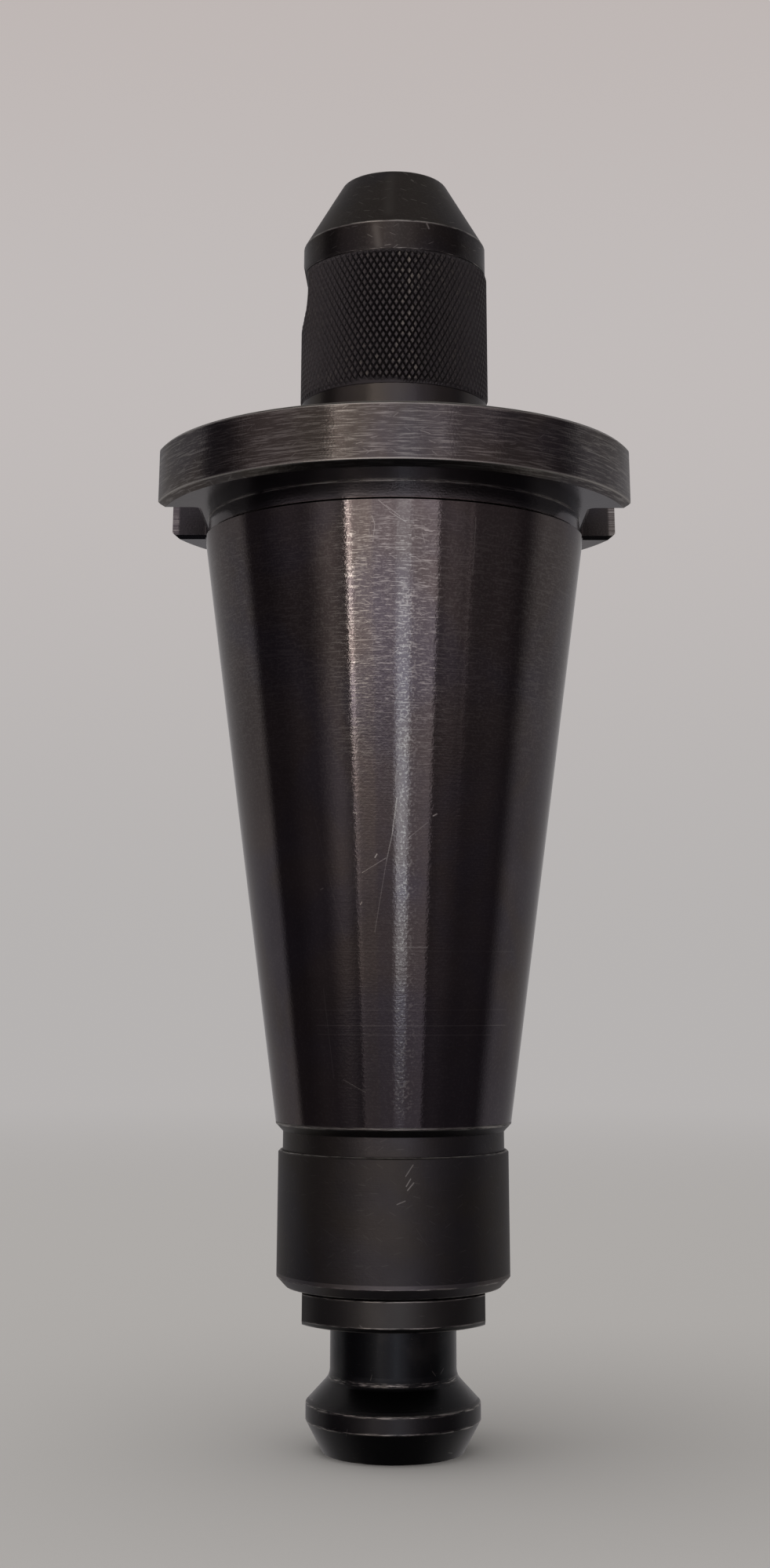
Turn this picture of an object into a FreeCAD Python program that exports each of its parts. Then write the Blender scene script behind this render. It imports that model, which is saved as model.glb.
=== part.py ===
# End mill holder: a steep-taper milling machine shank with a flange and two drive slots, a knurled
# nose with a side-lock set screw over the tool bore, and a retention knob screwed into its small end.
# Millimetres. The origin is on the axis in the gauge plane, where the taper is at its nominal
# diameter, and +Z points along the axis towards the nose. The set screw sits on the -X side.
import FreeCAD, Part
import os
import re
import Sketcher

# Driving dimensions: name, size, what it measures.
SIZES = [
    ("gauge_diameter", 69.85, "taper at the gauge plane"),
    ("taper_length", 101.6, "gauge plane to the small end of the taper"),
    ("taper_end_diameter", 40.22, "taper at its small end, 7 in 24 on the diameter"),
    ("taper_edge_break", 0.4, "bevel at the large end of the taper"),
    ("groove_diameter", 37.75, "relief groove behind the taper"),
    ("groove_width", 3.0, "floor of the relief groove"),
    ("pilot_diameter", 39.2, "cylindrical end of the shank"),
    ("pilot_length", 21.2, "relief groove to the end face"),
    ("pilot_lead", 0.3, "bevel of the pilot at the groove"),
    ("pilot_chamfer", 1.5, "bevel of the pilot at the end face"),
    ("neck_diameter", 68.6, "plain neck between taper and flange"),
    ("flange_offset", 3.05, "gauge plane to the rear face of the flange"),
    ("flange_diameter", 88.9, "rim of the flange"),
    ("flange_thickness", 11.1, "rear face to front face"),
    ("flange_rear_chamfer", 1.1, "bevel of the rim at the rear face"),
    ("flange_front_chamfer", 0.4, "bevel of the rim at the front face"),
    ("slot_width", 25.65, "drive slot, wall to wall"),
    ("slot_floor", 35.5, "drive slot floor from the axis"),
    ("slot_corner_radius", 0.9, "drive slot, floor to wall"),
    ("slot_edge_break", 0.7, "bevel where a slot wall meets a flange face"),
    ("nose_root_radius", 1.5, "fillet where the nose meets the flange"),
    ("nose_diameter", 35.2, "smooth foot of the nose"),
    ("nose_foot_length", 11.05, "flange face to the start of the knurl"),
    ("knurl_root_diameter", 34.7, "cylinder that the knurl stands on"),
    ("knurl_length", 26.1, "knurled band along the axis"),
    ("band_diameter", 34.9, "smooth band between knurl and cone"),
    ("band_length", 5.5, "smooth band along the axis"),
    ("cone_length", 13.05, "tapered tip along the axis"),
    ("nose_face_diameter", 19.9, "flat nose face, measured to its sharp edge"),
    ("nose_face_radius", 1.1, "rounding of that edge"),
    ("bore_diameter", 12.7, "bore for the shank of the cutter"),
    ("bore_depth", 50.0, "nose face to the end of the bore wall"),
    ("bore_mouth_diameter", 14.3, "bevelled mouth of the bore"),
    ("screw_distance", 22.6, "nose face to the axis of the set screw"),
    ("screw_diameter", 11.11, "set screw thread"),
    ("screw_clearance", 0.04, "radial play of the set screw in its thread"),
    ("screw_mouth_diameter", 12.8, "countersink where it meets the nose"),
    ("screw_length", 9.5, "set screw, end to end"),
    ("screw_retreat", 0.35, "tip of the backed-off set screw from the bore wall"),
    ("screw_end_chamfer", 0.9, "bevels at both ends of the set screw"),
    ("cup_diameter", 6.4, "rim of the cup point"),
    ("cup_depth", 1.5, "depth of the cup point"),
    ("socket_width", 5.56, "hexagon socket across flats"),
    ("socket_depth", 4.8, "depth of the hexagon socket"),
    ("stem_diameter", 25.4, "threaded stem of the knob"),
    ("stem_clearance", 0.05, "radial play of the stem in its thread"),
    ("stem_length", 42.0, "collar to the end of the stem"),
    ("stem_chamfer", 1.6, "lead bevel of the stem"),
    ("stem_hole_depth", 88.9, "end face to the end of the threaded wall"),
    ("stem_mouth_diameter", 27.4, "countersink of the threaded hole"),
    ("collar_diameter", 35.0, "collar of the knob over its round sides"),
    ("collar_flats", 29.9, "collar across its two spanner flats"),
    ("collar_thickness", 5.1, "collar along the axis"),
    ("collar_seat_chamfer", 0.4, "bevel at the seat of the collar"),
    ("collar_neck_chamfer", 0.7, "bevel at the neck side of the collar"),
    ("knob_neck_diameter", 21.0, "neck that the gripper closes round"),
    ("knob_neck_length", 8.6, "collar to the start of the pulling cone"),
    ("knob_cone_length", 3.95, "pulling cone under the head"),
    ("knob_neck_radius", 2.5, "fillet where the neck meets the pulling cone"),
    ("knob_head_diameter", 28.9, "head of the knob"),
    ("knob_head_length", 2.55, "cylindrical part of the head"),
    ("knob_head_radius", 0.3, "rounding where the pulling cone meets the head"),
    ("knob_end_length", 4.75, "bevelled end of the head"),
    ("knob_end_diameter", 23.4, "flat end of the knob"),
    ("cut_overrun", 2.0, "how far a cut runs past the surface that it enters"),
    ("drill_point_angle", 118.0, "tip angle of the drilled holes, in degrees"),
]

# Heights over the gauge plane and radii, as formulas of the sizes.
FLANGE_FRONT = "flange_offset + flange_thickness"
KNURL_START = f"{FLANGE_FRONT} + nose_foot_length"
KNURL_END = f"{KNURL_START} + knurl_length"
CONE_START = f"{KNURL_END} + band_length"
NOSE_FACE = f"{CONE_START} + cone_length"
SCREW_HEIGHT = f"{NOSE_FACE} - screw_distance"
GROOVE_TOP = "-taper_length - (taper_end_diameter - groove_diameter) / 2"
PILOT_TOP = f"{GROOVE_TOP} - groove_width"
SHANK_END = f"{PILOT_TOP} - pilot_length"
COLLAR_END = f"{SHANK_END} - collar_thickness"
NECK_END = f"{COLLAR_END} - knob_neck_length"
HEAD_TOP = f"{NECK_END} - knob_cone_length"
HEAD_BOTTOM = f"{HEAD_TOP} - knob_head_length"
KNOB_END = f"{HEAD_BOTTOM} - knob_end_length"
TAPER_SLOPE = "(gauge_diameter - taper_end_diameter) / 2 / taper_length"
SCREW_HOLE_RADIUS = "screw_diameter / 2 + screw_clearance"

NEAR = 0.001

doc = FreeCAD.newDocument("end_mill_holder")


def make_size_sheet():
    """Sheet with a row for each size: its name, its value under that alias, and its meaning."""
    sheet = doc.addObject("Spreadsheet::Sheet", "Sizes")
    for row, (name, value, meaning) in enumerate(SIZES, start=1):
        sheet.set(f"A{row}", name)
        sheet.set(f"B{row}", str(value))
        sheet.set(f"C{row}", meaning)
        sheet.setAlias(f"B{row}", name)
    doc.recompute()
    return sheet


sheet = make_size_sheet()
SIZE_NAMES = {name for name, value, meaning in SIZES}


def from_sheet(formula):
    """Formula of size names, written as an expression that reads them from the sheet."""
    return re.sub(r"[a-z_]+", lambda word: f"Sizes.{word[0]}" if word[0] in SIZE_NAMES else word[0], formula)


def value_of(formula):
    """Number that a formula of size names gives now."""
    return float(sheet.evalExpression(from_sheet(formula)))


def bind(feature, path, formula):
    """Tie a property, or one constraint of a sketch, to a formula of size names."""
    feature.setExpression(path, from_sheet(formula))


def make_body(name):
    """Empty body, labelled with the name of its file."""
    body = doc.addObject("PartDesign::Body", name)
    body.Label = name
    return body


def make_sketch(body, name, plane, moved_along=None, distance="0"):
    """Sketch on one of the body's own planes, moved along one axis of the sketch by a formula."""
    sketch = body.newObject("Sketcher::SketchObject", name)
    planes = {feature.Role: feature for feature in body.Origin.OriginFeatures}
    sketch.AttachmentSupport = [(planes[plane], "")]
    sketch.MapMode = "FlatFace"
    if moved_along:
        bind(sketch, f"AttachmentOffset.Base.{moved_along}", distance)
    return sketch


def hold_corner(sketch, line, kind, formula):
    """Hold one coordinate of a line's first point, on the sketch's own axis where it is zero."""
    horizontal_axis, vertical_axis = -1, -2
    if formula == "0":
        axis = vertical_axis if kind == "DistanceX" else horizontal_axis
        sketch.addConstraint(Sketcher.Constraint("PointOnObject", line, 1, axis))
    else:
        held = Sketcher.Constraint(kind, horizontal_axis, 1, line, 1, value_of(formula))
        bind(sketch, f"Constraints[{sketch.addConstraint(held)}]", formula)


def draw_outline(sketch, corners):
    """Closed loop of lines through the corners, each a pair of formulas of size names."""
    points = [FreeCAD.Vector(value_of(across), value_of(along), 0) for across, along in corners]
    for start, end in zip(points, points[1:] + points[:1]):
        sketch.addGeometry(Part.LineSegment(start, end), False)
    for line in range(len(corners)):
        following = (line + 1) % len(corners)
        sketch.addConstraint(Sketcher.Constraint("Coincident", line, 2, following, 1))
    for line, (across, along) in enumerate(corners):
        hold_corner(sketch, line, "DistanceX", across)
        hold_corner(sketch, line, "DistanceY", along)


def draw_circle(sketch, diameter):
    """Circle about the sketch's origin with a diameter from the sheet."""
    circle = Part.Circle(FreeCAD.Vector(0, 0, 0), FreeCAD.Vector(0, 0, 1), value_of(diameter) / 2)
    sketch.addGeometry(circle, False)
    horizontal_axis = -1
    sketch.addConstraint(Sketcher.Constraint("Coincident", 0, 3, horizontal_axis, 1))
    held = Sketcher.Constraint("Diameter", 0, value_of(diameter))
    bind(sketch, f"Constraints[{sketch.addConstraint(held)}]", diameter)


def turn(body, name, corners):
    """Turned solid: the outline, radius against height, revolved about the body's Z axis."""
    sketch = make_sketch(body, f"{name}_outline", "XZ_Plane")
    draw_outline(sketch, corners)
    turned = body.newObject("PartDesign::Revolution", name)
    turned.Profile = sketch
    turned.ReferenceAxis = (sketch, ["V_Axis"])
    turned.Angle = 360
    doc.recompute()
    return turned


def drill(body, name, height, upwards, diameter, depth, mouth_diameter):
    """Drilled hole on the axis from a height, with a conical bottom and a bevelled mouth."""
    sketch = make_sketch(body, f"{name}_centre", "XY_Plane", "z", height)
    draw_circle(sketch, diameter)
    doc.recompute()
    hole = body.newObject("PartDesign::Hole", name)
    hole.Profile = sketch
    doc.recompute()
    hole.Reversed = upwards
    hole.DepthType = "Dimension"
    hole.DrillPoint = "Angled"
    hole.HoleCutType = "Countersink"
    hole.HoleCutCustomValues = True
    hole.HoleCutCountersinkAngle = 90
    bind(hole, "Diameter", diameter)
    bind(hole, "Depth", depth)
    bind(hole, "DrillPointAngle", "drill_point_angle")
    bind(hole, "HoleCutDiameter", mouth_diameter)
    doc.recompute()
    return hole


def cut_and_repeat(body, name, sketch, length, upwards):
    """Pocket from a sketch, and its copy half a turn away about the axis."""
    pocket = body.newObject("PartDesign::Pocket", name)
    pocket.Profile = sketch
    pocket.Reversed = upwards
    bind(pocket, "Length", length)
    doc.recompute()
    axes = {feature.Role: feature for feature in body.Origin.OriginFeatures}
    pattern = body.newObject("PartDesign::PolarPattern", f"{name}_pair")
    pattern.Originals = [pocket]
    pattern.Axis = (axes["Z_Axis"], [""])
    pattern.Angle = 360
    pattern.Occurrences = 2
    body.Tip = pattern
    doc.recompute()
    return pattern


def edges_where(feature, wanted):
    """Names of the feature's edges that the test wanted(edge) picks."""
    return [f"Edge{number}" for number, edge in enumerate(feature.Shape.Edges, start=1) if wanted(edge)]


def dress_edges(body, kind, name, base, wanted, size):
    """Fillet or chamfer of one size on the edges that the test picks."""
    dressed = body.newObject(f"PartDesign::{kind}", name)
    dressed.Base = (base, edges_where(base, wanted))
    bind(dressed, "Radius" if kind == "Fillet" else "Size", size)
    doc.recompute()
    return dressed


def is_circle_at(radius, height):
    """Test for the full circle of a radius about the axis at a height, both formulas."""
    def wanted(edge):
        box = edge.BoundBox
        flat = abs(box.ZMin - value_of(height)) < NEAR and abs(box.ZMax - value_of(height)) < NEAR
        round_there = edge.Curve.TypeId == "Part::GeomCircle" and len(edge.Vertexes) == 1
        return flat and round_there and abs(edge.Curve.Radius - value_of(radius)) < NEAR
    return wanted


def make_holder_body():
    """Shank, flange and nose in one turned piece, with bore, threaded holes and drive slots."""
    body = make_body("holder_body")
    blank = turn(body, "blank", [
        ("0", NOSE_FACE),
        ("nose_face_diameter / 2", NOSE_FACE),
        ("band_diameter / 2", CONE_START),
        ("band_diameter / 2", KNURL_END),
        ("knurl_root_diameter / 2", KNURL_END),
        ("knurl_root_diameter / 2", KNURL_START),
        ("nose_diameter / 2", KNURL_START),
        ("nose_diameter / 2", FLANGE_FRONT),
        ("flange_diameter / 2 - flange_front_chamfer", FLANGE_FRONT),
        ("flange_diameter / 2", f"{FLANGE_FRONT} - flange_front_chamfer"),
        ("flange_diameter / 2", "flange_offset + flange_rear_chamfer"),
        ("flange_diameter / 2 - flange_rear_chamfer", "flange_offset"),
        ("neck_diameter / 2", "flange_offset"),
        ("neck_diameter / 2", "0"),
        ("gauge_diameter / 2 - taper_edge_break", "0"),
        (f"gauge_diameter / 2 - taper_edge_break * {TAPER_SLOPE}", "-taper_edge_break"),
        ("taper_end_diameter / 2", "-taper_length"),
        ("groove_diameter / 2", GROOVE_TOP),
        ("groove_diameter / 2", PILOT_TOP),
        ("pilot_diameter / 2 - pilot_lead", PILOT_TOP),
        ("pilot_diameter / 2", f"{PILOT_TOP} - pilot_lead"),
        ("pilot_diameter / 2", f"{SHANK_END} + pilot_chamfer"),
        ("pilot_diameter / 2 - pilot_chamfer", SHANK_END),
        ("0", SHANK_END),
    ])
    nose_root = is_circle_at("nose_diameter / 2", FLANGE_FRONT)
    rooted = dress_edges(body, "Fillet", "nose_root", blank, nose_root, "nose_root_radius")
    face_edge = is_circle_at("nose_face_diameter / 2", NOSE_FACE)
    dress_edges(body, "Fillet", "nose_face_edge", rooted, face_edge, "nose_face_radius")
    drill(body, "tool_bore", NOSE_FACE, False, "bore_diameter", "bore_depth", "bore_mouth_diameter")
    stem_hole_diameter = "stem_diameter + 2 * stem_clearance"
    drill(body, "stem_hole", SHANK_END, True, stem_hole_diameter, "stem_hole_depth", "stem_mouth_diameter")
    cut_screw_hole(body)
    cut_drive_slots(body)
    return body


def cut_screw_hole(body):
    """Radial threaded hole from the nose into the tool bore, countersunk at 90 degrees."""
    sketch = make_sketch(body, "screw_hole_outline", "XZ_Plane", "y", SCREW_HEIGHT)
    mouth_drop = f"(screw_mouth_diameter / 2 - {SCREW_HOLE_RADIUS})"
    draw_outline(sketch, [
        ("0", "0"),
        ("0", SCREW_HOLE_RADIUS),
        (f"-(knurl_root_diameter / 2 - {mouth_drop})", SCREW_HOLE_RADIUS),
        ("-(knurl_root_diameter / 2 + cut_overrun)", "screw_mouth_diameter / 2 + cut_overrun"),
        ("-(knurl_root_diameter / 2 + cut_overrun)", "0"),
    ])
    groove = body.newObject("PartDesign::Groove", "screw_hole")
    groove.Profile = sketch
    groove.ReferenceAxis = (sketch, ["H_Axis"])
    groove.Angle = 360
    doc.recompute()


def cut_drive_slots(body):
    """Two open slots through the flange for the drive keys of the spindle."""
    sketch = make_sketch(body, "drive_slot_outline", "XY_Plane", "z", "flange_offset")
    draw_outline(sketch, [
        ("slot_floor", "-slot_width / 2"),
        ("flange_diameter / 2 + cut_overrun", "-slot_width / 2"),
        ("flange_diameter / 2 + cut_overrun", "slot_width / 2"),
        ("slot_floor", "slot_width / 2"),
    ])
    slotted = cut_and_repeat(body, "drive_slot", sketch, "flange_thickness", True)
    half_width = value_of("slot_width / 2")
    floor = value_of("slot_floor")
    faces = [value_of("flange_offset"), value_of(FLANGE_FRONT)]

    def is_floor_corner(edge):
        middle = edge.CenterOfMass
        return abs(abs(middle.x) - floor) < NEAR and abs(abs(middle.y) - half_width) < NEAR

    def is_wall_edge(edge):
        box = edge.BoundBox
        on_face = any(abs(box.ZMin - face) < NEAR and abs(box.ZMax - face) < NEAR for face in faces)
        return on_face and abs(abs(box.Center.y) - half_width) < NEAR and box.YLength < NEAR

    cornered = dress_edges(body, "Fillet", "slot_corners", slotted, is_floor_corner, "slot_corner_radius")
    dress_edges(body, "Chamfer", "slot_edges", cornered, is_wall_edge, "slot_edge_break")


def make_set_screw():
    """Cup-point set screw, backed off so that it stands clear of the tool bore."""
    body = make_body("set_screw")
    turn(body, "screw_blank", [
        ("0", "cup_depth"),
        ("cup_diameter / 2", "0"),
        ("screw_diameter / 2 - screw_end_chamfer", "0"),
        ("screw_diameter / 2", "screw_end_chamfer"),
        ("screw_diameter / 2", "screw_length - screw_end_chamfer"),
        ("screw_diameter / 2 - screw_end_chamfer", "screw_length"),
        ("0", "screw_length"),
    ])
    sketch = make_sketch(body, "socket_outline", "XY_Plane", "z", "screw_length")
    flat = "socket_width / 2"
    corner = "socket_width / sqrt(3)"
    draw_outline(sketch, [
        ("0", corner),
        (f"-{flat}", f"{corner} / 2"),
        (f"-{flat}", f"-{corner} / 2"),
        ("0", f"-{corner}"),
        (flat, f"-{corner} / 2"),
        (flat, f"{corner} / 2"),
    ])
    socket = body.newObject("PartDesign::Pocket", "socket")
    socket.Profile = sketch
    bind(socket, "Length", "socket_depth")
    body.Placement = FreeCAD.Placement(FreeCAD.Vector(), FreeCAD.Rotation(FreeCAD.Vector(0, 1, 0), -90))
    bind(body, "Placement.Base.x", "-(bore_diameter / 2 + screw_retreat)")
    bind(body, "Placement.Base.z", SCREW_HEIGHT)
    doc.recompute()
    return body


def make_retention_knob():
    """Pull stud: threaded stem, collar with two spanner flats, neck, pulling cone and head."""
    body = make_body("retention_knob")
    blank = turn(body, "knob_blank", [
        ("0", f"{SHANK_END} + stem_length"),
        ("stem_diameter / 2 - stem_chamfer", f"{SHANK_END} + stem_length"),
        ("stem_diameter / 2", f"{SHANK_END} + stem_length - stem_chamfer"),
        ("stem_diameter / 2", SHANK_END),
        ("collar_diameter / 2 - collar_seat_chamfer", SHANK_END),
        ("collar_diameter / 2", f"{SHANK_END} - collar_seat_chamfer"),
        ("collar_diameter / 2", f"{COLLAR_END} + collar_neck_chamfer"),
        ("collar_diameter / 2 - collar_neck_chamfer", COLLAR_END),
        ("knob_neck_diameter / 2", COLLAR_END),
        ("knob_neck_diameter / 2", NECK_END),
        ("knob_head_diameter / 2", HEAD_TOP),
        ("knob_head_diameter / 2", HEAD_BOTTOM),
        ("knob_end_diameter / 2", KNOB_END),
        ("0", KNOB_END),
    ])
    cone_foot = is_circle_at("knob_neck_diameter / 2", NECK_END)
    necked = dress_edges(body, "Fillet", "neck_root", blank, cone_foot, "knob_neck_radius")
    cone_rim = is_circle_at("knob_head_diameter / 2", HEAD_TOP)
    dress_edges(body, "Fillet", "head_edge", necked, cone_rim, "knob_head_radius")
    sketch = make_sketch(body, "spanner_flat_outline", "XY_Plane", "z", COLLAR_END)
    draw_outline(sketch, [
        ("collar_flats / 2", "-collar_diameter / 2"),
        ("collar_diameter / 2 + cut_overrun", "-collar_diameter / 2"),
        ("collar_diameter / 2 + cut_overrun", "collar_diameter / 2"),
        ("collar_flats / 2", "collar_diameter / 2"),
    ])
    cut_and_repeat(body, "spanner_flat", sketch, "collar_thickness", True)
    return body


def check_document():
    """Stop on a failed feature, or on a cut that took nothing away from what it was made in."""
    for feature in doc.Objects:
        if "Invalid" in feature.State or "Error" in feature.State:
            raise RuntimeError(f"{feature.Name} failed: {feature.State}")
        if feature.TypeId in ("PartDesign::Hole", "PartDesign::Groove", "PartDesign::Pocket",
                              "PartDesign::PolarPattern"):
            if feature.Shape.Volume > feature.BaseFeature.Shape.Volume - NEAR:
                raise RuntimeError(f"{feature.Name} cuts nothing")


def write_step_files(bodies):
    """One STEP file for each body, once all of them are sound."""
    for body in bodies:
        if body.Shape.isNull() or not body.Shape.isValid():
            raise RuntimeError(f"{body.Label} has no sound solid")
    os.makedirs("parts", exist_ok=True)
    for body in bodies:
        body.Shape.exportStep(f"parts/{body.Label}.step")


bodies = [make_holder_body(), make_set_screw(), make_retention_knob()]
doc.recompute()
check_document()
write_step_files(bodies)
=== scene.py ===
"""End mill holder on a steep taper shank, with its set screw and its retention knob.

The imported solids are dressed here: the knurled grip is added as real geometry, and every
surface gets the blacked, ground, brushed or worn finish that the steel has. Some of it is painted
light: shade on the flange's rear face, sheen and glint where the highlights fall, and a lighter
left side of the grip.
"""
import math

import bpy
import numpy as np
from mathutils import Matrix, Vector


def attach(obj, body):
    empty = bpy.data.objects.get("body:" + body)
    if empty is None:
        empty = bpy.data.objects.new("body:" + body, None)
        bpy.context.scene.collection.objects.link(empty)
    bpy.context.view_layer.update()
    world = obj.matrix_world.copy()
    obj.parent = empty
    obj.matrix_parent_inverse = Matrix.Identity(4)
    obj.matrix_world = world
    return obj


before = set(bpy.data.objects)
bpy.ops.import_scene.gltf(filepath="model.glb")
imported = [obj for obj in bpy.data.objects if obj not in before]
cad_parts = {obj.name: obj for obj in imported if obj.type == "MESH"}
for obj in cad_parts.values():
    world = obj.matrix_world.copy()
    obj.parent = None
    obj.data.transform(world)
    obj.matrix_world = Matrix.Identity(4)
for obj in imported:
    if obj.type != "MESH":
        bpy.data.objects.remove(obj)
bpy.context.view_layer.update()


# Floor, backdrop and camera
# The holder stands on the flat end of its knob, on a plain pale floor in front of a plain pale
# backdrop. The camera stands low and close, and looks slightly upwards past the shank.

FLOOR_HEIGHT = -0.151985
FLOOR_COLOUR = (0.485, 0.470, 0.458, 1)
BACKDROP_LOW = (0.470, 0.452, 0.446, 1)
BACKDROP_MIDDLE = (0.535, 0.500, 0.492, 1)
BACKDROP_HIGH = (0.520, 0.472, 0.458, 1)
FLOOR_FADES = (0.10, 1.1)  # the distances from the axis over which the floor turns into the backdrop
LENS, FILM_WIDTH, FRAME_SHIFT = 46.48, 36.0, -0.2589
CAMERA_AT = (-0.0015, -0.3683, -0.0801)
LOOK_UP, ROLL = math.radians(16.85), math.radians(0.13)


def place(tree, kind, inputs=(), **settings):
    """Adds one node to a tree: its settings by name, and each input as a value or a linked socket."""
    node = tree.nodes.new(kind)
    for name, value in settings.items():
        setattr(node, name, value)
    for key, value in dict(inputs).items():
        if isinstance(value, bpy.types.NodeSocket):
            tree.links.new(value, node.inputs[key])
        else:
            node.inputs[key].default_value = value
    return node


def maths(tree, operation, *terms, clamp=False):
    """One Math node that works on numbers or sockets, and gives its result socket."""
    node = place(tree, "ShaderNodeMath", enumerate(terms), operation=operation, use_clamp=clamp)
    return node.outputs[0]


def vector_maths(tree, operation, *terms, scale=None):
    """One Vector Math node. It gives a number where it measures something, and else a vector."""
    inputs = dict(enumerate(terms))
    if scale is not None:
        inputs["Scale"] = scale
    node = place(tree, "ShaderNodeVectorMath", inputs, operation=operation)
    measures = operation in ("LENGTH", "DISTANCE", "DOT_PRODUCT")
    return node.outputs["Value" if measures else "Vector"]


def eased(tree, value, low, high, start=0.0, end=1.0):
    """A number that goes smoothly from start to end while the value goes from low to high."""
    inputs = {"Value": value, "From Min": low, "From Max": high, "To Min": start, "To Max": end}
    return place(tree, "ShaderNodeMapRange", inputs, interpolation_type="SMOOTHSTEP").outputs["Result"]


def blend_colours(tree, factor, first, second, kind="MIX"):
    """The first colour turned into the second by a factor, or multiplied with it."""
    node = place(tree, "ShaderNodeMix", data_type="RGBA", blend_type=kind)
    for key, value in ((0, factor), (6, first), (7, second)):
        if isinstance(value, bpy.types.NodeSocket):
            tree.links.new(value, node.inputs[key])
        else:
            node.inputs[key].default_value = value
    return node.outputs[2]


def emptied_tree(owner):
    """The node tree of a material or a world, with nothing in it."""
    owner.use_nodes = True
    owner.node_tree.nodes.clear()
    return owner.node_tree


def floor_disc(radius, rings, spokes):
    """A flat disc: rings of points at radii that grow with the square of the ring's number."""
    ring = (np.arange(1, rings + 1) / rings) ** 2 * radius
    turn = np.arange(spokes) / spokes * 2 * np.pi
    reach, bearing = np.meshgrid(ring, turn, indexing="ij")
    height = np.full(reach.shape, FLOOR_HEIGHT)
    points = np.stack([reach * np.cos(bearing), reach * np.sin(bearing), height], -1)
    points = np.concatenate([[[0, 0, FLOOR_HEIGHT]], points.reshape(-1, 3)])
    index = np.arange(rings * spokes).reshape(rings, spokes) + 1
    after = np.roll(index, -1, axis=1)
    quads = np.stack([index[:-1], index[1:], after[1:], after[:-1]], -1).reshape(-1, 4)
    fan = np.stack([np.zeros(spokes, int), index[0], after[0]], -1)
    mesh = bpy.data.meshes.new("floor")
    mesh.from_pydata(points.tolist(), [], fan.tolist() + quads.tolist())
    return mesh


floor = bpy.data.objects.new("floor", floor_disc(radius=30.0, rings=24, spokes=96))
bpy.context.scene.collection.objects.link(floor)
floor.visible_shadow = False

floor_paint = bpy.data.materials.new("pale_floor")
tree = emptied_tree(floor_paint)
spot = place(tree, "ShaderNodeTexCoord").outputs["Object"]
flat_spot = vector_maths(tree, "MULTIPLY", spot, (1, 1, 0))
reach = vector_maths(tree, "LENGTH", flat_spot)
ray = place(tree, "ShaderNodeLightPath").outputs
far_off = maths(tree, "MULTIPLY", eased(tree, reach, *FLOOR_FADES), ray["Is Camera Ray"])
matt = place(tree, "ShaderNodeBsdfDiffuse", {"Color": FLOOR_COLOUR}).outputs[0]
glow = place(tree, "ShaderNodeEmission", {"Color": BACKDROP_LOW, "Strength": 1.0}).outputs[0]
clear = place(tree, "ShaderNodeBsdfTransparent").outputs[0]
seen = place(tree, "ShaderNodeMixShader", {0: far_off, 1: matt, 2: glow}).outputs[0]
mirrored = maths(tree, "MAXIMUM", ray["Is Glossy Ray"], ray["Is Transmission Ray"])
whole = place(tree, "ShaderNodeMixShader", {0: mirrored, 1: seen, 2: clear}).outputs[0]
place(tree, "ShaderNodeOutputMaterial", {"Surface": whole})
floor.data.materials.append(floor_paint)

camera = bpy.data.objects.new("camera", bpy.data.cameras.new("camera"))
bpy.context.scene.collection.objects.link(camera)
camera.data.lens = LENS
camera.data.sensor_width = FILM_WIDTH
camera.data.sensor_fit = "AUTO"
camera.data.shift_y = FRAME_SHIFT
camera.data.clip_start = 0.02
camera.data.clip_end = 100.0
camera.matrix_world = (
    Matrix.Translation(CAMERA_AT)
    @ Matrix.Rotation(-ROLL, 4, "Y")
    @ Matrix.Rotation(math.pi / 2 + LOOK_UP, 4, "X")
)
bpy.context.scene.camera = camera


# Light
# A soft lamp hangs over the holder. What its polished faces mirror is a room that is dark behind the
# camera, with tall soft panels and two thin strips in it, and pale on the backdrop's side.

LAMP_BRIGHTNESS = 2.0
EVEN_ROOM = (0.62, 0.61, 0.60, 1)
DARK_SIDE = (0.063, 0.054, 0.061)
PALE_SIDE = (0.362, 0.347, 0.350)
OVERHEAD = (0.290, 0.280, 0.272, 1)
FLOOR_SEEN = (0.250, 0.242, 0.236, 1)
UNDERFOOT = (0.029, 0.028, 0.030, 1)
WARM = (1.09, 0.99, 0.93)
PINK = (1.10, 0.97, 0.99)
VIOLET = (1.05, 0.97, 1.01)
COOL = (0.92, 1.04, 1.08)

# all in degrees: the bearings over which the pale side begins on the left and on the right, and the
# rises above the level over which the room turns into what is overhead, the floor and the shadow on it
PALE_ON_LEFT, PALE_ON_RIGHT = (-107, -97), (84, 104)
TO_OVERHEAD, TO_FLOOR, TO_UNDERFOOT = (35, 60), (-46, -27), (-62, -48)

# left and right bearing in degrees from the camera's side, softness of the two edges, colour,
# and the brightness at each of the four rises
LOWEST_RISE, LOW_RISE, LEVEL_RISE, HIGH_RISE = -19, -12, -5, 12
PANELS = [
    (-28.3, -13.5, 0.7, WARM, 0.17, 0.40, 1.36, 0.78),
    (-13.5, -0.5, 1.5, VIOLET, 0.18, 0.33, 1.15, 0.80),
    (-0.5, 26.5, 0.7, VIOLET, 0.24, 0.50, 0.98, 0.54),
    (1.2, 10.0, 1.2, COOL, 0.06, 1.45, 0.60, 0.20),
    (-28.2, -27.0, 0.2, WARM, 0.00, 0.60, 6.50, 0.50),
    (-28.6, -25.4, 0.6, WARM, 0.00, 0.00, 0.10, 1.00),
    (46.4, 47.6, 0.3, PINK, 0.00, 0.00, 0.25, 0.30),
    (-46.0, -32.0, 11.0, WARM, 0.08, 0.36, 0.44, 0.37),
    (-74.0, -46.0, 12.0, PINK, 0.03, 0.05, 0.05, 0.27),
    (26.5, 44.0, 11.0, PINK, 0.04, 0.10, 0.29, 0.30),
    (44.0, 80.0, 12.0, PINK, 0.01, 0.02, 0.08, 0.10),
]


def parts_of(tree, vector):
    """The X, Y and Z of a vector, as three sockets."""
    return place(tree, "ShaderNodeSeparateXYZ", {0: vector}).outputs


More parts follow.
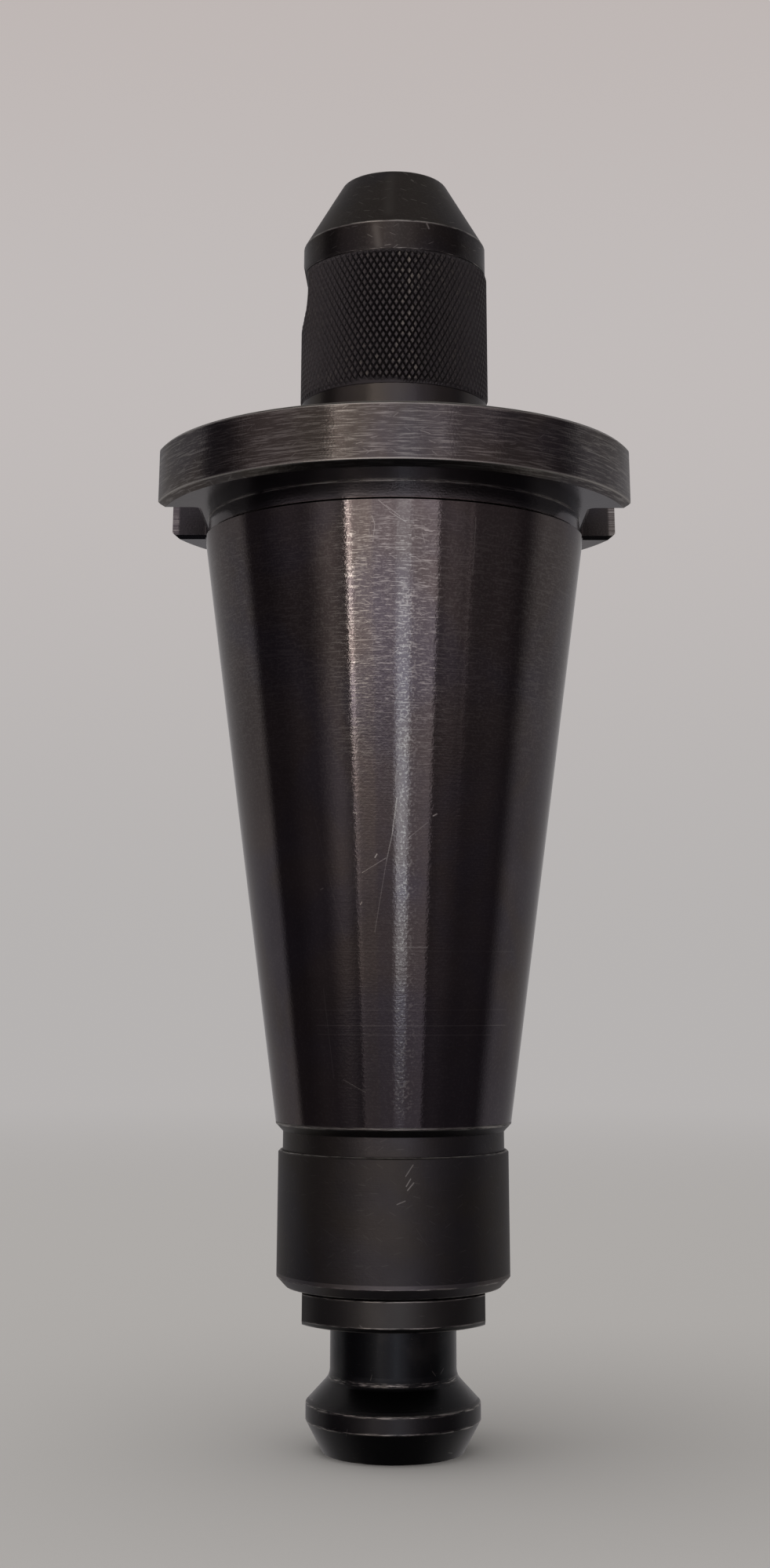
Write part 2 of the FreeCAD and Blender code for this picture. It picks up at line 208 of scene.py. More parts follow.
def added_light(tree, before, colour, brightness):
    """The light before, plus a colour scaled by a brightness."""
    lit = vector_maths(tree, "SCALE", colour, scale=brightness)
    return vector_maths(tree, "ADD", before, lit)


bpy.context.scene.view_settings.view_transform = "Standard"

lamp = bpy.data.lights.new("overhead_lamp", "AREA")
lamp.shape = "SQUARE"
lamp.size = 1.0
lamp.energy = LAMP_BRIGHTNESS * math.pi * lamp.size ** 2
overhead_lamp = bpy.data.objects.new("overhead_lamp", lamp)
overhead_lamp.location = (-0.25, -0.15, 1.2)
overhead_lamp.visible_camera = False
overhead_lamp.visible_glossy = False
bpy.context.scene.collection.objects.link(overhead_lamp)

world = bpy.data.worlds.new("room")
bpy.context.scene.world = world
world.cycles.sampling_method = "NONE"
tree = emptied_tree(world)
way = parts_of(tree, place(tree, "ShaderNodeTexCoord").outputs["Generated"])
toward_camera = maths(tree, "MULTIPLY", way["Y"], -1.0)
bearing = maths(tree, "DEGREES", maths(tree, "ARCTAN2", way["X"], toward_camera))
rise = maths(tree, "DEGREES", maths(tree, "ARCSINE", way["Z"]))

pale = maths(tree, "ADD", eased(tree, bearing, *PALE_ON_LEFT, 1.0, 0.0), eased(tree, bearing, *PALE_ON_RIGHT))
mirrored = added_light(tree, DARK_SIDE, [p - d for p, d in zip(PALE_SIDE, DARK_SIDE)], pale)
for left, right, soft, colour, lowest, low, level, high in PANELS:
    bright = maths(tree, "ADD", eased(tree, rise, LOWEST_RISE, LOW_RISE, lowest, low),
                   eased(tree, rise, LOW_RISE, LEVEL_RISE, 0.0, level - low))
    bright = maths(tree, "ADD", bright, eased(tree, rise, LEVEL_RISE, HIGH_RISE, 0.0, high - level))
    inside = maths(tree, "MULTIPLY", bright, eased(tree, bearing, left - soft, left + soft))
    inside = maths(tree, "MULTIPLY", inside, eased(tree, bearing, right - soft, right + soft, 1.0, 0.0))
    mirrored = added_light(tree, mirrored, colour, inside)
mirrored = blend_colours(tree, eased(tree, rise, *TO_OVERHEAD), mirrored, OVERHEAD)
mirrored = blend_colours(tree, eased(tree, rise, *TO_FLOOR, 1.0, 0.0), mirrored, FLOOR_SEEN)
mirrored = blend_colours(tree, eased(tree, rise, *TO_UNDERFOOT, 1.0, 0.0), mirrored, UNDERFOOT)
backdrop = blend_colours(tree, eased(tree, way["Z"], 0.0, 0.30), BACKDROP_LOW, BACKDROP_MIDDLE)
backdrop = blend_colours(tree, eased(tree, way["Z"], 0.30, 0.50), backdrop, BACKDROP_HIGH)
ray = place(tree, "ShaderNodeLightPath").outputs
gloss_ray = maths(tree, "MAXIMUM", ray["Is Glossy Ray"], ray["Is Transmission Ray"])
shine = blend_colours(tree, gloss_ray, EVEN_ROOM, mirrored)
shine = blend_colours(tree, ray["Is Camera Ray"], shine, backdrop)
air = place(tree, "ShaderNodeBackground", {"Color": shine, "Strength": 1.0}).outputs[0]
place(tree, "ShaderNodeOutputWorld", {"Surface": air})


# Holder body
# One turned forging: nose, flange with two drive slots, ground taper, groove and pilot. It is steel,
# hardened, ground on the taper and blacked all over. Years in spindles and racks have worn its edges.

# heights from the gauge plane and radii, in millimetres
TAPER_END, GROOVE_END, PILOT_END = -101.6, -105.835, -127.035
FLANGE_REAR, FLANGE_FRONT, FLANGE_RADIUS = 3.05, 14.15, 44.45
KNURL_START, KNURL_END, CONE_START, NOSE_FACE = 25.2, 51.3, 56.8, 69.85
BAND_RADIUS = 17.45
HALF_TAPER = -TAPER_END / 2
RIM_STEEL, BARE_STEEL = (0.094, 0.087, 0.084, 1), (0.42, 0.40, 0.375, 1)
BROWN_OXIDE, VIOLET_OXIDE = (1.06, 0.99, 0.94, 1), (0.97, 0.95, 1.04, 1)
GRAZING_TINT = (0.83, 0.83, 0.83, 1)


def effect(name, takes, gives):
    """Starts a node group. takes lists (name, kind, usual value), and gives lists (name, kind)."""
    tree = bpy.data.node_groups.new(name, "ShaderNodeTree")
    for label, kind, usual in takes:
        socket = tree.interface.new_socket(label, in_out="INPUT", socket_type="NodeSocket" + kind)
        if usual is not None:
            socket.default_value = usual
    for label, kind in gives:
        tree.interface.new_socket(label, in_out="OUTPUT", socket_type="NodeSocket" + kind)
    return tree, tree.nodes.new("NodeGroupInput").outputs, tree.nodes.new("NodeGroupOutput")


def apply(tree, group, **inputs):
    """Places a node group in a tree, sets or links its inputs by name, and gives its outputs."""
    node = tree.nodes.new("ShaderNodeGroup")
    node.node_tree = group
    for key, value in inputs.items():
        label = key.replace("_", " ")
        if isinstance(value, bpy.types.NodeSocket):
            tree.links.new(value, node.inputs[label])
        else:
            node.inputs[label].default_value = value
    return node.outputs


def vector_of(tree, *parts):
    """A vector from its X, Y and perhaps Z, each a number or a socket."""
    return place(tree, "ShaderNodeCombineXYZ", enumerate(parts)).outputs[0]


def noise(tree, point, scale, detail, **more):
    """Blender's noise at a point, from 0 to 1: finer with the scale, and rougher with the detail."""
    inputs = {"Vector": point, "Scale": scale, "Detail": detail, **more}
    return place(tree, "ShaderNodeTexNoise", inputs).outputs["Fac"]


def product(tree, *factors):
    """Several numbers or sockets multiplied together."""
    result = factors[0]
    for factor in factors[1:]:
        result = maths(tree, "MULTIPLY", result, factor)
    return result


def largest(tree, masks):
    """The largest of several masks at each point."""
    most = masks[0]
    for mask in masks[1:]:
        most = maths(tree, "MAXIMUM", most, mask)
    return most


# turned part: where a point lies on a part that was made on a lathe, in millimetres
turned_part, given, taken = effect(
    "turned_part", [("Point", "Vector", None)],
    [("Height", "Float"), ("Radius", "Float"), ("Unrolled", "Vector"), ("Rim", "Vector")])
in_mm = vector_maths(turned_part, "SCALE", given["Point"], scale=1000.0)
axes = parts_of(turned_part, in_mm)
off_axis = vector_of(turned_part, axes["X"], axes["Y"])
radius = vector_maths(turned_part, "LENGTH", off_axis)
bearing = maths(turned_part, "ARCTAN2", axes["X"], maths(turned_part, "MULTIPLY", axes["Y"], -1.0))
around = maths(turned_part, "MULTIPLY", bearing, radius)
unrolled = vector_of(turned_part, around, axes["Z"])
unit = parts_of(turned_part, vector_maths(turned_part, "NORMALIZE", off_axis))
rim = vector_of(turned_part, unit["X"], unit["Y"], axes["Z"])
for label, socket in (("Height", axes["Z"]), ("Radius", radius), ("Unrolled", unrolled), ("Rim", rim)):
    turned_part.links.new(socket, taken.inputs[label])

# lathe lines: noise stretched round the part and tight along it, as feed marks and brushing are
lathe_lines, given, taken = effect(
    "lathe_lines",
    [("Rim", "Vector", None), ("Round", "Float", 6.0), ("Along", "Float", 3.0), ("Cut", "Float", 0.6),
     ("Soft", "Float", 0.1)],
    [("Grain", "Float"), ("Lines", "Float")])
spread = vector_of(lathe_lines, given["Round"], given["Round"], given["Along"])
drawn = vector_maths(lathe_lines, "MULTIPLY", given["Rim"], spread)
streaks = noise(lathe_lines, drawn, 1.0, 3.0, Roughness=0.6)
upper = maths(lathe_lines, "ADD", given["Cut"], given["Soft"])
lathe_lines.links.new(streaks, taken.inputs["Grain"])
lathe_lines.links.new(eased(lathe_lines, streaks, given["Cut"], upper), taken.inputs["Lines"])

# worn corner: a thin broken line of bare metal along a turned corner at one radius and height,
# laid over the marks that come before it
worn_corner, given, taken = effect(
    "worn_corner",
    [("Under", "Float", 0.0), ("Radius", "Float", 10.0), ("Height", "Float", 0.0), ("Rim", "Vector", None),
     ("Corner Radius", "Float", 10.0), ("Corner Height", "Float", 0.0), ("Width", "Float", 0.3),
     ("Missing", "Float", 0.3)],
    [("Mask", "Float")])
off_radius = maths(worn_corner, "SUBTRACT", given["Radius"], given["Corner Radius"])
off_height = maths(worn_corner, "SUBTRACT", given["Height"], given["Corner Height"])
distance = vector_maths(worn_corner, "LENGTH", vector_of(worn_corner, off_radius, off_height))
near = eased(worn_corner, distance, 0.0, given["Width"], 1.0, 0.0)
broken = noise(worn_corner, given["Rim"], 6.0, 5.0, Roughness=0.65)
kept = eased(worn_corner, broken, given["Missing"], maths(worn_corner, "ADD", given["Missing"], 0.22))
worn = maths(worn_corner, "MAXIMUM", given["Under"], maths(worn_corner, "MULTIPLY", near, kept))
worn_corner.links.new(worn, taken.inputs["Mask"])

# scattered dashes: one straight mark in each cell of a net on the unrolled surface, at its own slant
scattered_dashes, given, taken = effect(
    "scattered_dashes",
    [("Unrolled", "Vector", None), ("Cell", "Float", 4.0), ("Length", "Float", 1.5),
     ("Width", "Float", 0.12), ("Slant", "Float", 0.0), ("Spread", "Float", 1.0), ("Kept", "Float", 0.5)],
    [("Mask", "Float")])
net = scattered_dashes
per_mm = maths(net, "DIVIDE", 1.0, given["Cell"])
drawn = vector_maths(net, "SCALE", given["Unrolled"], scale=per_mm)
cells = place(net, "ShaderNodeTexVoronoi", {"Vector": drawn, "Scale": 1.0}, voronoi_dimensions="2D").outputs
away = vector_maths(net, "SUBTRACT", drawn, cells["Position"])
lot = place(net, "ShaderNodeSeparateColor", {0: cells["Color"]}).outputs
turn = maths(net, "SUBTRACT", lot["Red"], 0.5)
turn = maths(net, "MULTIPLY_ADD", turn, given["Spread"], given["Slant"])
away = place(net, "ShaderNodeVectorRotate", {"Vector": away, "Angle": turn}, rotation_type="Z_AXIS")
away = parts_of(net, away.outputs[0])
half_length = maths(net, "MULTIPLY", maths(net, "MULTIPLY", given["Length"], 0.5), per_mm)
half_width = maths(net, "MULTIPLY", given["Width"], per_mm)
inner = maths(net, "MULTIPLY", half_length, 0.5)
lengthwise = eased(net, maths(net, "ABSOLUTE", away["X"]), inner, half_length, 1.0, 0.0)
crosswise = eased(net, maths(net, "ABSOLUTE", away["Y"]), 0.0, half_width, 1.0, 0.0)
present = maths(net, "LESS_THAN", lot["Green"], given["Kept"])
dash = product(net, lengthwise, crosswise, present)
dash = maths(net, "MULTIPLY", dash, maths(net, "MULTIPLY_ADD", lot["Blue"], 0.7, 0.3))
net.links.new(dash, taken.inputs["Mask"])

# single scratch: one straight scratch on the unrolled surface, laid over the marks before it. It is
# given by its start, its run and its way, which is the run divided by its own squared length.
single_scratch, given, taken = effect(
    "single_scratch",
    [("Under", "Float", 0.0), ("Unrolled", "Vector", None), ("Start", "Vector", (0, 0, 0)),
     ("Run", "Vector", (1, 0, 0)), ("Way", "Vector", (1, 0, 0)), ("Width", "Float", 0.15),
     ("Strength", "Float", 1.0)],
    [("Mask", "Float")])
step = vector_maths(single_scratch, "SUBTRACT", given["Unrolled"], given["Start"])
share = vector_maths(single_scratch, "DOT_PRODUCT", step, given["Way"])
share = maths(single_scratch, "ADD", share, 0.0, clamp=True)
foot = vector_maths(single_scratch, "SCALE", given["Run"], scale=share)
apart = vector_maths(single_scratch, "DISTANCE", step, foot)
line = eased(single_scratch, apart, 0.0, given["Width"], given["Strength"], 0.0)
single_scratch.links.new(maths(single_scratch, "MAXIMUM", given["Under"], line), taken.inputs["Mask"])


def scratched(tree, under, unrolled, start, end, width, strength):
    """The marks so far, with one more scratch between two points given as around and height."""
    run = Vector((end[0] - start[0], end[1] - start[1], 0))
    return apply(tree, single_scratch, Under=under, Unrolled=unrolled, Start=(*start, 0), Run=run,
                 Way=run / run.length_squared, Width=width, Strength=strength)["Mask"]


def with_worn_corners(tree, under, at, corners):
    """The marks so far, with worn corners: radius, height, half width, and the share that is missing."""
    for corner, level, width, missing in corners:
        under = apply(tree, worn_corner, Under=under, Radius=at["Radius"], Height=at["Height"],
                      Rim=at["Rim"], Corner_Radius=corner, Corner_Height=level, Width=width,
                      Missing=missing)["Mask"]
    return under


def by_height(tree, height, stops):
    """A colour or a number that changes at each height, as (height, value) pairs from the knob up."""
    low, high = -152.0, 72.0
    scaled = {"Value": height, "From Min": low, "From Max": high}
    scaled = place(tree, "ShaderNodeMapRange", scaled).outputs["Result"]
    ramp = place(tree, "ShaderNodeValToRGB", {"Fac": scaled})
    ramp.color_ramp.interpolation = "CONSTANT"
    points = ramp.color_ramp.elements
    while len(points) < len(stops):
        points.new(0.5)
    for point, (level, colour) in zip(points, stops):
        point.position = max(0.0, (level - low) / (high - low))
    for point, (level, colour) in zip(points, stops):
        point.color = (*colour, 1) if isinstance(colour, tuple) else (colour, colour, colour, 1)
    return ramp.outputs["Color"]


def zone_finish(tree, height, zones):
    """The colour and the roughness of turned zones, each given as the height where it starts,
    its colour and its roughness."""
    steel = by_height(tree, height, [(start, colour) for start, colour, rough in zones])
    rough = by_height(tree, height, [(start, rough) for start, colour, rough in zones])
    return steel, rough


def end_in_metal(tree, colour, roughness, others=()):
    """Ends a tree in a metal surface of this colour and roughness, with any other inputs by name."""
    inputs = {"Base Color": colour, "Metallic": 1.0, "Roughness": roughness, **dict(others)}
    skin = place(tree, "ShaderNodeBsdfPrincipled", inputs).outputs[0]
    place(tree, "ShaderNodeOutputMaterial", {"Surface": skin})


holder_finish = bpy.data.materials.new("blacked_holder_steel")
tree = emptied_tree(holder_finish)
point = place(tree, "ShaderNodeTexCoord").outputs["Object"]
at = apply(tree, turned_part, Point=point)
height, radius = at["Height"], at["Radius"]

steel, rough = zone_finish(tree, height, [
    (-152, (0.050, 0.048, 0.047), 0.40),                    # below the pilot, where nothing lies
    (PILOT_END - 0.5, (0.120, 0.115, 0.112), 0.45),         # bevel at the pilot's end
    (PILOT_END + 1.5, (0.056, 0.054, 0.053), 0.45),         # pilot
    (GROOVE_END, (0.052, 0.050, 0.049), 0.38),              # relief groove
    (TAPER_END, (0.098, 0.089, 0.092), 0.08),               # ground taper
    (0, (0.092, 0.091, 0.099), 0.20),                       # neck
    # painted shade: the flange's rear face is made near black for the shadow it lies in over the neck
    (FLANGE_REAR - 0.05, (0.012, 0.011, 0.012), 0.34),      # rear face of the flange
    (FLANGE_REAR + 0.30, (0.042, 0.040, 0.040), 0.30),      # bevels and drive slots
    (FLANGE_FRONT - 0.05, (0.076, 0.073, 0.070), 0.26),     # front face, fillet and foot
    (KNURL_START, (0.050, 0.047, 0.046), 0.36),             # under the knurl
    (KNURL_END, (0.048, 0.045, 0.044), 0.28),               # smooth band
    (CONE_START, (0.058, 0.054, 0.053), 0.38)])             # conical tip
on_rim = eased(tree, radius, FLANGE_RADIUS - 1.4, FLANGE_RADIUS - 0.9)
steel = blend_colours(tree, on_rim, steel, RIM_STEEL)
rough = blend_colours(tree, on_rim, rough, (0.17, 0.17, 0.17, 1))

# slow brown and violet patches of the oxide, and lighter and darker ones
patch = noise(tree, point, 28.0, 9.0, Roughness=0.68)
hue = noise(tree, point, 46.0, 3.0, Distortion=0.6)
tint = blend_colours(tree, eased(tree, hue, 0.40, 0.62), BROWN_OXIDE, VIOLET_OXIDE)
steel = blend_colours(tree, 1.0, steel, tint, "MULTIPLY")
shade = eased(tree, patch, 0.30, 0.72, 0.86, 1.14)
shade = place(tree, "ShaderNodeCombineColor", {0: shade, 1: shade, 2: shade}).outputs[0]
steel = blend_colours(tree, 1.0, steel, shade, "MULTIPLY")

# Use has rubbed the taper bright in fine rings below the flange, and it has brushed the flange's rim.
# The rings are denser on the side that faces the camera: that extra is painted sheen where the highlights
# fall. A long stripe down the taper has more bare specks: painted glint along the brightest highlight.
from_middle = maths(tree, "ABSOLUTE", maths(tree, "ADD", height, HALF_TAPER))
on_taper = maths(tree, "LESS_THAN", from_middle, HALF_TAPER)
on_nose = maths(tree, "GREATER_THAN", height, KNURL_END)
rings = apply(tree, lathe_lines, Rim=at["Rim"], Round=6.0, Along=2.8, Cut=0.58, Soft=0.08)
strokes = apply(tree, lathe_lines, Rim=at["Rim"], Round=16.0, Along=4.6, Cut=0.56, Soft=0.08)
brushing = apply(tree, lathe_lines, Rim=at["Rim"], Round=7.0, Along=4.0, Cut=0.50, Soft=0.16)
rubbed = product(tree, eased(tree, height, -58.0, -24.0), eased(tree, height, -6.0, -1.0, 1.0, 0.35),
                 on_taper)
around = parts_of(tree, at["Unrolled"])["X"]
# painted sheen: more bare rubbing on the side that faces the camera, where the highlights fall
camera_side_sheen = maths(tree, "ABSOLUTE", maths(tree, "ADD", around, 1.2))
camera_side_sheen = eased(tree, camera_side_sheen, 6.0, 11.0, 1.0, 0.0)
handled = maths(tree, "MULTIPLY", rubbed, maths(tree, "MULTIPLY_ADD", camera_side_sheen, 0.34, 0.18))
speckle = noise(tree, point, 2400.0, 2.0)
# painted glint: a stripe of denser bare specks down the taper, along its brightest highlight
painted_glint_stripe = scratched(tree, 0.0, at["Unrolled"], (2.4, -16.0), (1.4, -98.0), 2.6, 1.0)
specks_and_glint = maths(tree, "MULTIPLY_ADD", painted_glint_stripe, 0.26, maths(tree, "MULTIPLY_ADD", rubbed, 0.08, 0.05))
specks = eased(tree, speckle, 0.50, 0.66)
specks_and_glint = product(tree, specks, maths(tree, "MAXIMUM", on_taper, product(tree, on_nose, 0.6)), specks_and_glint)
short = apply(tree, scattered_dashes, Unrolled=at["Unrolled"], Cell=2.2, Length=1.6, Width=0.12,
              Slant=0.0, Spread=1.4, Kept=0.6)["Mask"]
stray = apply(tree, scattered_dashes, Unrolled=at["Unrolled"], Cell=7.0, Length=4.0, Width=0.10,
              Slant=0.6, Spread=2.6, Kept=0.4)["Mask"]
some = maths(tree, "MULTIPLY_ADD", handled, 0.90, product(tree, on_nose, 0.30))
some = maths(tree, "MULTIPLY_ADD", on_rim, 0.45, some)
some = maths(tree, "MULTIPLY_ADD", maths(tree, "LESS_THAN", height, TAPER_END), 0.06, some)
bare = largest(tree, [
    product(tree, rings["Lines"], handled, 0.80),
    product(tree, strokes["Lines"], handled),
    specks_and_glint,
    product(tree, brushing["Lines"], on_rim, 0.46),
    product(tree, strokes["Lines"], on_rim, 0.24),
    product(tree, short, some),
    product(tree, stray, maths(tree, "MULTIPLY_ADD", on_rim, 0.20, 0.05)),
])

# the longer scratches: around and height of both ends in millimetres, half width, strength
scratches = [
    (0.4, -49.5, -0.4, -55.5, 0.15, 0.60), (-0.4, -55.5, -1.3, -59.5, 0.14, 0.45),
    (-1.3, -59.5, -3.2, -70.8, 0.13, 0.28), (-5.3, -61.4, -1.4, -59.1, 0.11, 0.50),
    (2.3, -55.9, 5.5, -53.4, 0.11, 0.30), (0.1, -59.2, 0.9, -61.6, 0.10, 0.30),
    (-14.0, -52.2, -8.2, -72.3, 0.10, 0.12), (-12.2, -79.7, -10.2, -93.8, 0.10, 0.20),
    (-8.5, -93.9, -4.7, -95.8, 0.12, 0.40), (-0.3, -73.2, 5.5, -73.2, 0.11, 0.45),
    (-11.7, -73.9, 24.0, -73.7, 0.10, 0.12), (-14.0, -83.1, 22.0, -83.0, 0.10, 0.14),
    (-13.5, -85.5, 22.0, -85.5, 0.12, 0.22), (-13.3, -86.9, 18.0, -87.0, 0.14, 0.14),
    (6.5, -52.3, 7.1, -52.0, 0.20, 0.90), (-6.8, -51.8, -6.3, -52.0, 0.16, 0.70),
    (-3.2, -59.0, -2.9, -58.5, 0.18, 0.90), (-5.6, -66.4, -5.4, -66.1, 0.16, 0.70),
    (-12.7, -64.0, -12.3, -63.8, 0.16, 0.50), (-2.8, -0.6, -0.8, -2.3, 0.10, 0.45),
    (-1.5, -1.5, 0.8, -3.3, 0.10, 0.40), (-0.9, -2.6, 1.9, -4.3, 0.10, 0.45),
    (-3.9, -3.2, -3.4, -4.6, 0.12, 0.45), (-3.4, -4.6, -3.7, -7.4, 0.12, 0.40),
    (3.4, -6.6, 5.8, -7.4, 0.12, 0.40), (4.6, -6.0, 5.1, -7.7, 0.11, 0.40),
    (-4.5, -8.5, 7.6, -8.4, 0.10, 0.28), (1.9, -108.6, 3.1, -106.9, 0.12, 0.35),
    (2.0, -110.1, 2.7, -109.0, 0.14, 0.45), (2.2, -110.7, 3.2, -109.6, 0.15, 0.45),
    (0.5, -112.8, 1.8, -112.3, 0.14, 0.30), (23.8, 5.2, 28.3, 4.7, 0.22, 0.50),
    (4.2, 9.0, 5.8, 8.5, 0.12, 0.50), (-0.8, 68.0, -1.2, 59.0, 1.80, 0.06),
    (3.2, 67.6, 3.6, 67.3, 0.16, 0.50), (-3.6, 55.6, -3.0, 51.9, 1.20, 0.09),
    (6.0, 56.7, 6.5, 55.6, 0.25, 0.55), (14.2, -2.9, 13.6, -12.6, 0.14, 0.32),
]
marks = 0.0
for start, low, end, high, width, strength in scratches:
    marks = scratched(tree, marks, at["Unrolled"], (start, low), (end, high), width, strength)

# bare corners of the groove, pilot, neck, flange and nose
edges = with_worn_corners(tree, 0.0, at, [
    (19.3, GROOVE_END, 0.30, 0.38), (20.1, TAPER_END, 0.42, 0.37),
    (18.1, PILOT_END, 0.32, 0.38), (19.6, PILOT_END + 1.5, 0.26, 0.46),
    (34.9, 0.0, 0.20, 0.44), (34.3, FLANGE_REAR - 0.1, 0.26, 0.36),
    (FLANGE_RADIUS, FLANGE_REAR + 1.1, 0.34, 0.22), (FLANGE_RADIUS, FLANGE_FRONT - 0.4, 0.26, 0.28),
    (FLANGE_RADIUS - 0.4, FLANGE_FRONT, 0.26, 0.28), (BAND_RADIUS, CONE_START, 0.30, 0.36),
    (BAND_RADIUS, KNURL_END, 0.25, 0.46), (9.9, NOSE_FACE - 0.2, 0.40, 0.45)])
marks = maths(tree, "MAXIMUM", marks, edges)
bare = maths(tree, "MAXIMUM", bare, marks)
steel = blend_colours(tree, bare, steel, BARE_STEEL)
rough = blend_colours(tree, product(tree, marks, 0.8), rough, (0.36, 0.36, 0.36, 1))

# the grain stands up a little everywhere, and least on the ground taper
grain = maths(tree, "MULTIPLY_ADD", on_taper, -0.45, 1.0)
grain = product(tree, grain, maths(tree, "MULTIPLY_ADD", brushing["Grain"], 0.7, speckle))
bump = place(tree, "ShaderNodeBump", {"Strength": 0.30, "Distance": 0.00006, "Height": grain}).outputs[0]
end_in_metal(tree, steel, rough, {"Normal": bump, "Specular Tint": GRAZING_TINT})
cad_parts["holder_body"].material_slots[0].material = holder_finish


# Knurled grip
# A diamond knurl rolled into the nose over 27 mm of its length, ninety-three starts each way at thirty
# degrees, with blunt crests. Its lines run out unevenly at the flange end and stop at the screw's mouth.

KNURL_STARTS, KNURL_SLANT = 93, math.radians(30)
STEPS_PER_TOOTH = 8
FLANK_SHARE = 0.375  # of a ridge's full height: above it the crest is cut off blunt
ROOT_RADIUS, CREST_RADIUS, BURIED_RADIUS = 17.42, 17.72, 17.20
SCREW_HEIGHT, MOUTH_RADIUS = 47.25, 6.4
SNAP_REACH, SUNK_REACH, SUNK_SLOPE = 0.17, 0.9, 0.8  # millimetres from the mouth's circle
GRIP_VALLEY, GRIP_CREST = (0.068, 0.062, 0.065, 1), (0.074, 0.067, 0.069, 1)
GRIP_PAINTED_LIGHT_LEFT, GRIP_WEAR_AND_SHEEN = (0.120, 0.108, 0.112, 1), (0.24, 0.22, 0.19, 1)


def knurl_sleeve():
    """Points on a grid of bearings and heights. Two families of helical ridges cross, each a sawtooth
    that rises from 0 to 1 and back, and the lower of the two is the height of the pyramids. The lines
    fade over an uneven length at the lower end and over a short bevel at the upper one."""
    round_steps = KNURL_STARTS * STEPS_PER_TOOTH
    pitch = 2 * math.pi * CREST_RADIUS / KNURL_STARTS
    lead = pitch / math.tan(KNURL_SLANT)
    rows = int(round((KNURL_END - KNURL_START) / (lead / STEPS_PER_TOOTH)))
    column, row = np.meshgrid(np.arange(round_steps), np.arange(rows + 1), indexing="ij")
    bearing = column / round_steps * 2 * np.pi
    height = KNURL_START + row / rows * (KNURL_END - KNURL_START)
    first, second = (column + row) / STEPS_PER_TOOTH, (column - row) / STEPS_PER_TOOTH
    ridge = np.minimum(1 - np.abs(2 * (first % 1) - 1), 1 - np.abs(2 * (second % 1) - 1))
    uneven = (0.55 + 0.5 * np.sin(3 * bearing + 0.7) + 0.35 * np.sin(7 * bearing + 2.1)
              + 0.25 * np.sin(19 * bearing))
    fade_low = np.clip((height - KNURL_START - 0.1 - 0.5 * np.maximum(uneven, 0)) / 0.8, 0, 1)
    fade_high = np.clip((KNURL_END - 0.15 - height) / 0.6, 0, 1)
    depth = np.minimum(ridge, FLANK_SHARE) / FLANK_SHARE * np.minimum(fade_low, fade_high)
    reach = ROOT_RADIUS + (CREST_RADIUS - ROOT_RADIUS) * depth
    reach[:, 0] = BURIED_RADIUS
    reach[:, -1] = BURIED_RADIUS
    x, y = reach * np.cos(bearing), reach * np.sin(bearing)
    return reach, np.stack([x, y, height], -1)


def cut_mouth(points, reach):
    """Points near the rim of the screw's mouth are moved onto its circle and sunk a little. It also
    says which points are inside the circle, so that the squares there are left out."""
    across, up = points[..., 1], points[..., 2] - SCREW_HEIGHT
    away = np.hypot(across, up)
    left = points[..., 0] < 0
    rim = left & (np.abs(away - MOUTH_RADIUS) < SNAP_REACH)
    scale = np.where(rim, MOUTH_RADIUS / np.maximum(away, 1e-6), 1.0)
    across, up = across * scale, up * scale
    near = left & (away < MOUTH_RADIUS + SUNK_REACH)
    sunk = np.clip((np.hypot(across, up) - MOUTH_RADIUS) / SUNK_SLOPE, 0, 1)
    lowered = np.where(rim, BURIED_RADIUS, ROOT_RADIUS + (reach - ROOT_RADIUS) * sunk)
    reach = np.where(near, lowered, reach)
    moved = near | rim
    x = np.where(moved, -np.sqrt(np.maximum(reach ** 2 - across ** 2, 0)), points[..., 0])
    y = np.where(moved, across, points[..., 1])
    z = np.where(moved, up + SCREW_HEIGHT, points[..., 2])
    return np.stack([x, y, z], -1), left & (away < MOUTH_RADIUS + SNAP_REACH)


def split_squares(columns, rows):
    """Triangles of a grid that closes round its columns, each square split along the crease in it:
    the rising diagonal where column and row add up to an even number, and the falling one elsewhere."""
    i, j = np.meshgrid(np.arange(columns), np.arange(rows - 1), indexing="ij")
    k = (i + 1) % columns
    a, b, c, d = i * rows + j, k * rows + j, k * rows + j + 1, i * rows + j + 1
    even = ((i + j) % 2 == 0)[..., None, None]
    rising = np.stack([np.stack([a, b, c], -1), np.stack([a, c, d], -1)], -2)
    falling = np.stack([np.stack([a, b, d], -1), np.stack([b, c, d], -1)], -2)
    return np.where(even, rising, falling).reshape(-1, 3)


def steel_piece(name, points, faces):
    """A mesh object in metres from points in millimetres, at the origin, with plain faces."""
    mesh = bpy.data.meshes.new(name)
    used, renumbered = np.unique(faces, return_inverse=True)
    corners = points.reshape(-1, 3)[used] / 1000
    mesh.from_pydata(corners.tolist(), [], renumbered.reshape(faces.shape).tolist())
    mesh.polygons.foreach_set("use_smooth", np.full(len(mesh.polygons), False))
    mesh.update()
    piece = bpy.data.objects.new(name, mesh)
    bpy.context.scene.collection.objects.link(piece)
    return piece


reach, points = knurl_sleeve()
points, inside = cut_mouth(points, reach)
faces = split_squares(*reach.shape)
faces = faces[~inside.reshape(-1)[faces].all(axis=1)]
knurl = steel_piece("knurled_grip", points, faces)

knurl_finish = bpy.data.materials.new("blacked_knurl")
tree = emptied_tree(knurl_finish)
point = place(tree, "ShaderNodeTexCoord").outputs["Object"]
at = apply(tree, turned_part, Point=point)
crest = eased(tree, at["Radius"], ROOT_RADIUS + 0.20, CREST_RADIUS - 0.02)
rubbed = noise(tree, point, 900.0, 2.0)
handled = noise(tree, point, 70.0, 3.0)
around = parts_of(tree, at["Unrolled"])["X"]
